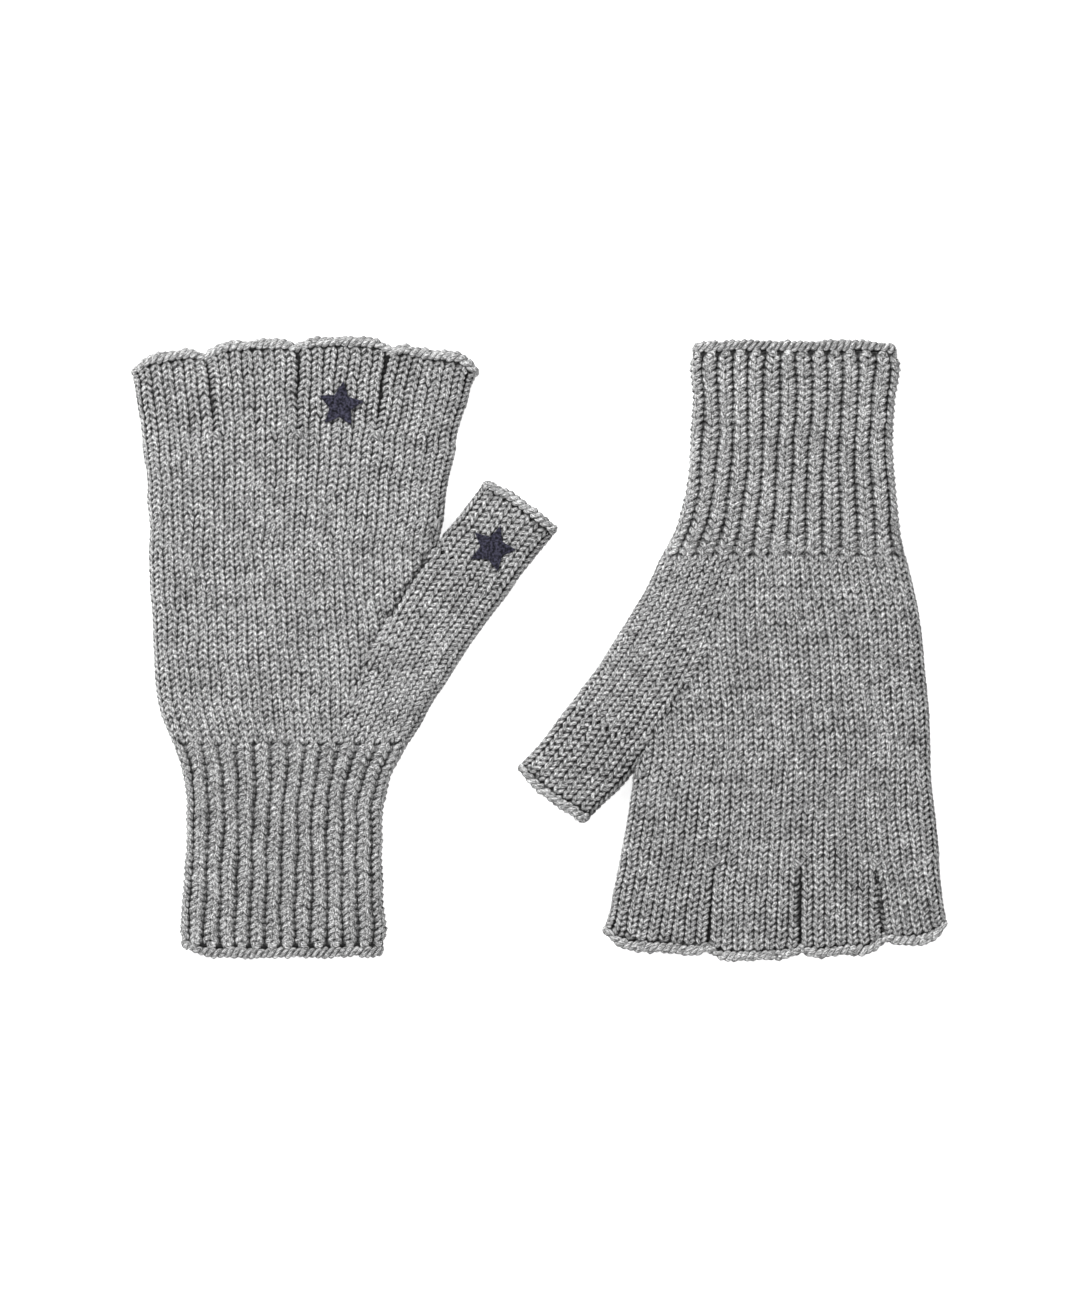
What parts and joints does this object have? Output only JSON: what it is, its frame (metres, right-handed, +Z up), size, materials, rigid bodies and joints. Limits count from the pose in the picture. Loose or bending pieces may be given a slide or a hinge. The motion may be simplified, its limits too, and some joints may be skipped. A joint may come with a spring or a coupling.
{
  "type": "fingerless gloves",
  "caption": "Pair of knitted fingerless gloves with ribbed cuffs, slanted thumb gussets, short open finger stubs with rolled edges, and star patches on the back.",
  "frame": {"origin": "middle of the pair on the surface it lies on", "axes": "+X from the left-hand glove to the right-hand glove, +Y along the left-hand glove from cuff to fingertips, +Z up"},
  "size_m": [0.2428, 0.1864, 0.0114],
  "materials": {
    "jersey": "heather grey jersey knit, matt",
    "rib": "heather grey one by one rib knit, matt",
    "edge": "heather grey rolled cast-off edge, matt",
    "darn": "heather grey darning yarn, matt",
    "star": "navy felt, matt"
  },
  "bodies": {
    "left_hand": {"left_hand": "jersey", "left_thumb_gusset": "jersey", "left_crotch_darn_1": "darn", "left_crotch_darn_2": "darn", "left_crotch_darn_3": "darn", "left_thumb_darn": "darn"},
    "left_cuff": {"left_cuff": "rib", "left_cuff_edge": "edge"},
    "left_thumb": {"left_thumb_stub": "jersey", "left_thumb_edge": "edge", "star_thumb": "star"},
    "left_little_finger": {"left_little_stub": "jersey", "left_little_edge": "edge"},
    "left_ring_finger": {"left_ring_stub": "jersey", "left_ring_edge": "edge"},
    "left_middle_finger": {"left_middle_stub": "jersey", "left_middle_edge": "edge", "star_finger": "star"},
    "left_index_finger": {"left_index_stub": "jersey", "left_index_edge": "edge"},
    "right_hand": {"right_hand": "jersey", "right_thumb_gusset": "jersey", "right_crotch_darn_1": "darn", "right_crotch_darn_2": "darn", "right_crotch_darn_3": "darn", "right_thumb_darn": "darn"},
    "right_cuff": {"right_cuff": "rib", "right_cuff_edge": "edge"},
    "right_thumb": {"right_thumb_stub": "jersey", "right_thumb_edge": "edge"},
    "right_little_finger": {"right_little_stub": "jersey", "right_little_edge": "edge"},
    "right_ring_finger": {"right_ring_stub": "jersey", "right_ring_edge": "edge"},
    "right_middle_finger": {"right_middle_stub": "jersey", "right_middle_edge": "edge"},
    "right_index_finger": {"right_index_stub": "jersey", "right_index_edge": "edge"}
  },
  "joints": [
    {"name": "right_glove_lift", "type": "slide", "parent": "left_hand", "child": "right_hand", "axis": [0, 0, 1], "range_m": [0, 0.08]},
    {"name": "left_cuff_flex", "type": "hinge", "parent": "left_hand", "child": "left_cuff", "pos_m": [-0.0768, -0.02815, 0.01], "axis": [-1, 0, 0], "range_deg": [0, 75]},
    {"name": "left_thumb_flex", "type": "hinge", "parent": "left_hand", "child": "left_thumb", "pos_m": [-0.02005, 0.0232, 0.01], "axis": [0.8192, -0.5736, 0], "range_deg": [0, 60]},
    {"name": "left_little_flex", "type": "hinge", "parent": "left_hand", "child": "left_little_finger", "pos_m": [-0.0966, 0.06485, 0.01], "axis": [0.9923, 0.1236, 0], "range_deg": [0, 60]},
    {"name": "left_ring_flex", "type": "hinge", "parent": "left_hand", "child": "left_ring_finger", "pos_m": [-0.0718, 0.06485, 0.01], "axis": [1, 0, 0], "range_deg": [0, 60]},
    {"name": "left_middle_flex", "type": "hinge", "parent": "left_hand", "child": "left_middle_finger", "pos_m": [-0.0485, 0.06485, 0.01], "axis": [1, 0, 0], "range_deg": [0, 60]},
    {"name": "left_index_flex", "type": "hinge", "parent": "left_hand", "child": "left_index_finger", "pos_m": [-0.0485, 0.06485, 0.01], "axis": [0.9899, -0.1419, 0], "range_deg": [0, 60]},
    {"name": "right_cuff_flex", "type": "hinge", "parent": "right_hand", "child": "right_cuff", "pos_m": [0.0768, 0.02815, 0.01], "axis": [1, 0, 0], "range_deg": [0, 75]},
    {"name": "right_thumb_flex", "type": "hinge", "parent": "right_hand", "child": "right_thumb", "pos_m": [0.02005, -0.0232, 0.01], "axis": [-0.8192, 0.5736, 0], "range_deg": [0, 60]},
    {"name": "right_little_flex", "type": "hinge", "parent": "right_hand", "child": "right_little_finger", "pos_m": [0.101, -0.06485, 0.01], "axis": [-0.9919, -0.1273, 0], "range_deg": [0, 60]},
    {"name": "right_ring_flex", "type": "hinge", "parent": "right_hand", "child": "right_ring_finger", "pos_m": [0.0781, -0.06485, 0.01], "axis": [-1, 0, 0], "range_deg": [0, 60]},
    {"name": "right_middle_flex", "type": "hinge", "parent": "right_hand", "child": "right_middle_finger", "pos_m": [0.0524, -0.06485, 0.01], "axis": [-1, 0, 0], "range_deg": [0, 60]},
    {"name": "right_index_flex", "type": "hinge", "parent": "right_hand", "child": "right_index_finger", "pos_m": [0.0524, -0.06485, 0.01], "axis": [-0.9988, 0.049, 0], "range_deg": [0, 60]}
  ]
}
